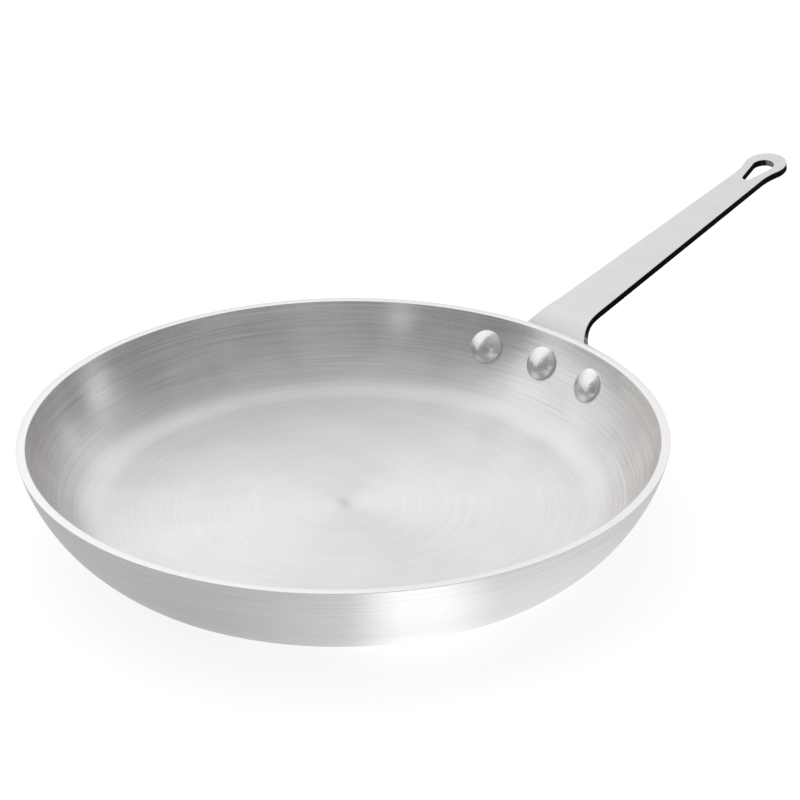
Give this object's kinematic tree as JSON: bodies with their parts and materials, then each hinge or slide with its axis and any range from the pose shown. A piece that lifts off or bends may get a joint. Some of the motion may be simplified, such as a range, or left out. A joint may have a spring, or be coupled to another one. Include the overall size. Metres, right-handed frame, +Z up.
{
  "type": "frying pan",
  "caption": "Shallow round frying pan of bare brushed aluminium with a curved flared wall, a flat-cut rim and a long riveted steel handle that rises to an eye with a hanging hole.",
  "frame": {"origin": "centre of the flat underside, on the axis of the round shell", "axes": "+Z up along the shell's axis, +X out along the handle, +Y to the left of someone at the shell's centre who looks along the handle"},
  "size_m": [0.4939, 0.305, 0.0901],
  "materials": {
    "shell": "bare, brushed in circles",
    "handle": "satin plated",
    "rivet": "polished"
  },
  "bodies": {
    "root": {"pan_body": "shell", "handle": "handle", "rivet_left": "rivet", "rivet_centre": "rivet", "rivet_right": "rivet"}
  },
  "joints": []
}
